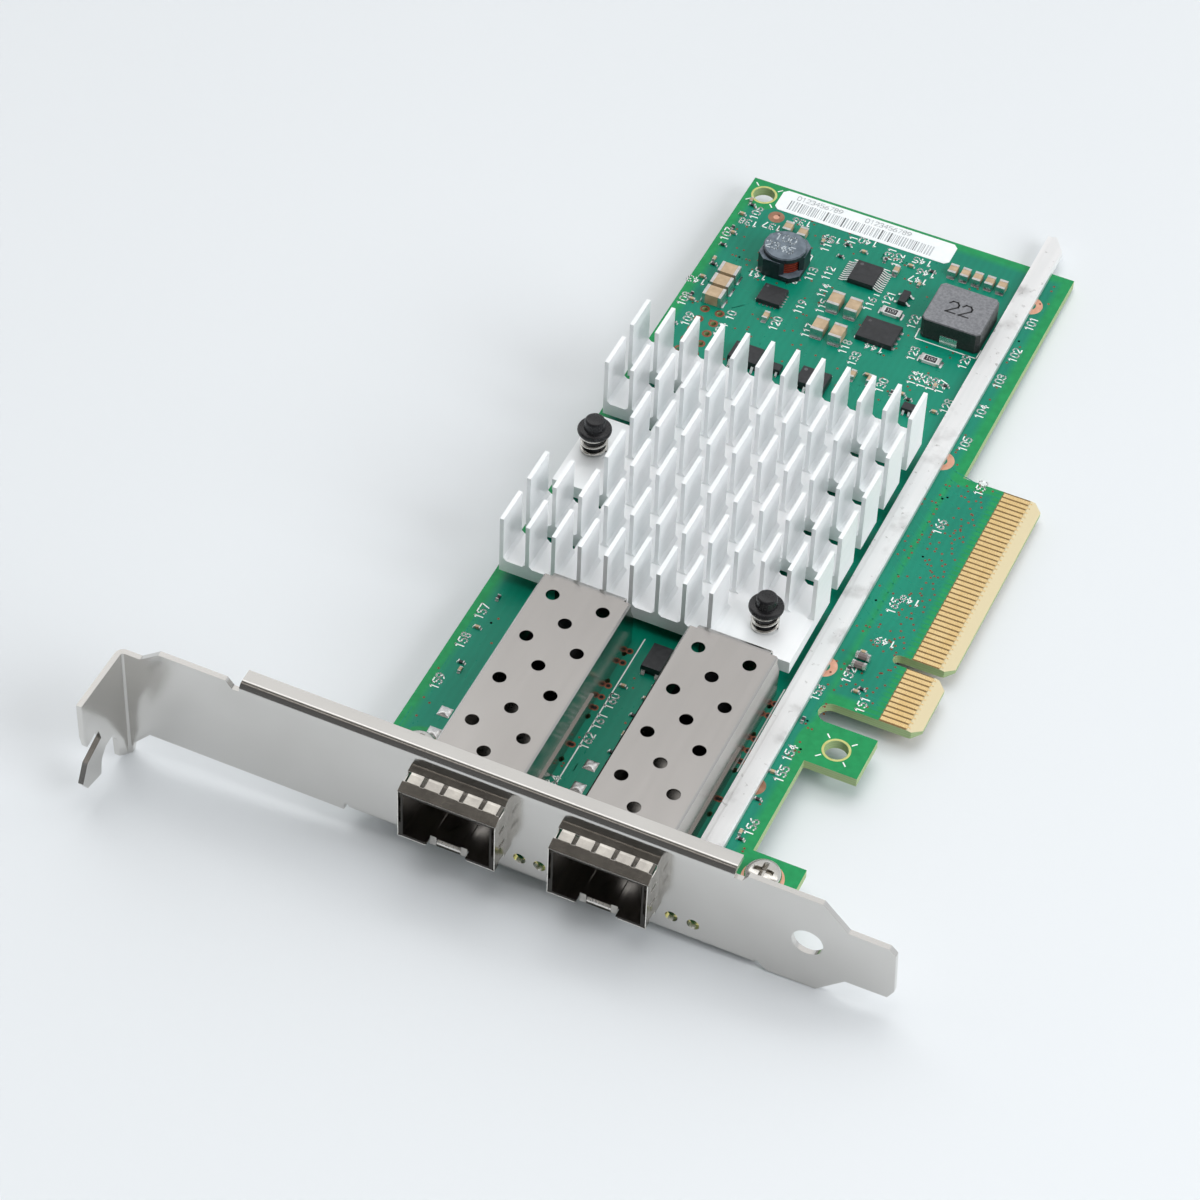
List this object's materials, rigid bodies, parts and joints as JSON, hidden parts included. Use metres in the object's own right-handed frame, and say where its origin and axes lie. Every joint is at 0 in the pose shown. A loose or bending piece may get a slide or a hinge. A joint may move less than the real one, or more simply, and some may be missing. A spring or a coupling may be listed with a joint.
{
  "type": "network interface card",
  "caption": "Plug-in network card with two transceiver cages, a finned heat sink on push pins, a stiffener bar and a full-height slot bracket.",
  "frame": {"origin": "on the mating edge of the slot tongue, at the centre of the key notch, half way through the board", "axes": "+X out of the mating edge into the slot, +Y from the bracket to the far end of the board, +Z out of the component side"},
  "size_m": [0.12, 0.1658, 0.0241],
  "materials": {
    "bar_screws": "nickel plated",
    "blank_label": "matt paper",
    "bracket": "nickel plated steel, satin",
    "bracket_screws": "nickel plated, bright",
    "bulk_capacitor_ends": "tinned",
    "bulk_capacitors": "tan ceramic, satin",
    "cage_base_1": "nickel plated sheet, smooth",
    "cage_base_2": "nickel plated sheet, smooth",
    "cage_connector_1": "black moulded",
    "cage_connector_2": "black moulded",
    "cage_cover_1": "nickel plated sheet, smooth",
    "cage_cover_2": "nickel plated sheet, smooth",
    "circuit_board": "green solder mask over glass epoxy, satin",
    "connector_contacts": "gold plated",
    "controller_body": "black moulding",
    "controller_laminate": "green laminate",
    "controller_leads": "tinned",
    "controller_lid": "black moulding",
    "diode_caps": "black moulding",
    "diode_sleeves": "black moulding",
    "drum_core": "dark ferrite, matt",
    "drum_ring": "dark ferrite, matt",
    "drum_terminals": "tinned",
    "drum_winding": "enamelled copper",
    "edge_contacts": "gold plated, bright",
    "emi_collar_1": "spring sheet, smooth",
    "emi_collar_2": "spring sheet, smooth",
    "heat_sink": "bright satin, clear anodised",
    "logic_bodies": "black moulding",
    "logic_leads": "tinned",
    "medium_capacitor_ends": "tinned",
    "medium_capacitors": "tan ceramic, satin",
    "memory_bodies": "black moulding",
    "memory_leads": "tinned",
    "oscillator_body": "black moulding",
    "oscillator_leads": "tinned",
    "pin_spring_1": "spring wire, bright",
    "pin_spring_2": "spring wire, bright",
    "power_stage_body": "black moulding",
    "power_stage_pads": "tinned",
    "push_pin_1": "black nylon",
    "push_pin_2": "black nylon",
    "regulator_body": "black moulding",
    "regulator_pads": "tinned",
    "sense_resistor_ends": "tinned",
    "sense_resistors": "black overglaze",
    "small_capacitor_ends": "tinned",
    "small_capacitors": "tan ceramic, satin",
    "solder_balls": "solder",
    "square_inductor": "grey moulded powder, matt",
    "square_inductor_terminals": "tinned",
    "status_lamps": "clear body",
    "stiffener_bar": "tinned steel, scuffed",
    "thermal_pad": "soft grey pad",
    "tiny_capacitor_ends": "tinned",
    "tiny_capacitors": "tan ceramic, satin",
    "transistor_body": "black moulding",
    "transistor_leads": "tinned",
    "underside_capacitors": "tan ceramic, satin"
  },
  "bodies": {
    "root": {"bar_screws": "bar_screws", "blank_label": "blank_label", "bracket": "bracket", "bracket_screws": "bracket_screws", "bulk_capacitor_ends": "bulk_capacitor_ends", "bulk_capacitors": "bulk_capacitors", "cage_base_1": "cage_base_1", "cage_base_2": "cage_base_2", "cage_connector_1": "cage_connector_1", "cage_connector_2": "cage_connector_2", "cage_cover_1": "cage_cover_1", "cage_cover_2": "cage_cover_2", "circuit_board": "circuit_board", "connector_contacts": "connector_contacts", "controller_body": "controller_body", "controller_laminate": "controller_laminate", "controller_leads": "controller_leads", "controller_lid": "controller_lid", "diode_caps": "diode_caps", "diode_sleeves": "diode_sleeves", "drum_core": "drum_core", "drum_ring": "drum_ring", "drum_terminals": "drum_terminals", "drum_winding": "drum_winding", "edge_contacts": "edge_contacts", "emi_collar_1": "emi_collar_1", "emi_collar_2": "emi_collar_2", "heat_sink": "heat_sink", "logic_bodies": "logic_bodies", "logic_leads": "logic_leads", "medium_capacitor_ends": "medium_capacitor_ends", "medium_capacitors": "medium_capacitors", "memory_bodies": "memory_bodies", "memory_leads": "memory_leads", "oscillator_body": "oscillator_body", "oscillator_leads": "oscillator_leads", "pin_spring_1": "pin_spring_1", "pin_spring_2": "pin_spring_2", "power_stage_body": "power_stage_body", "power_stage_pads": "power_stage_pads", "push_pin_1": "push_pin_1", "push_pin_2": "push_pin_2", "regulator_body": "regulator_body", "regulator_pads": "regulator_pads", "sense_resistor_ends": "sense_resistor_ends", "sense_resistors": "sense_resistors", "small_capacitor_ends": "small_capacitor_ends", "small_capacitors": "small_capacitors", "solder_balls": "solder_balls", "square_inductor": "square_inductor", "square_inductor_terminals": "square_inductor_terminals", "status_lamps": "status_lamps", "stiffener_bar": "stiffener_bar", "thermal_pad": "thermal_pad", "tiny_capacitor_ends": "tiny_capacitor_ends", "tiny_capacitors": "tiny_capacitors", "transistor_body": "transistor_body", "transistor_leads": "transistor_leads", "underside_capacitors": "underside_capacitors"}
  },
  "joints": []
}
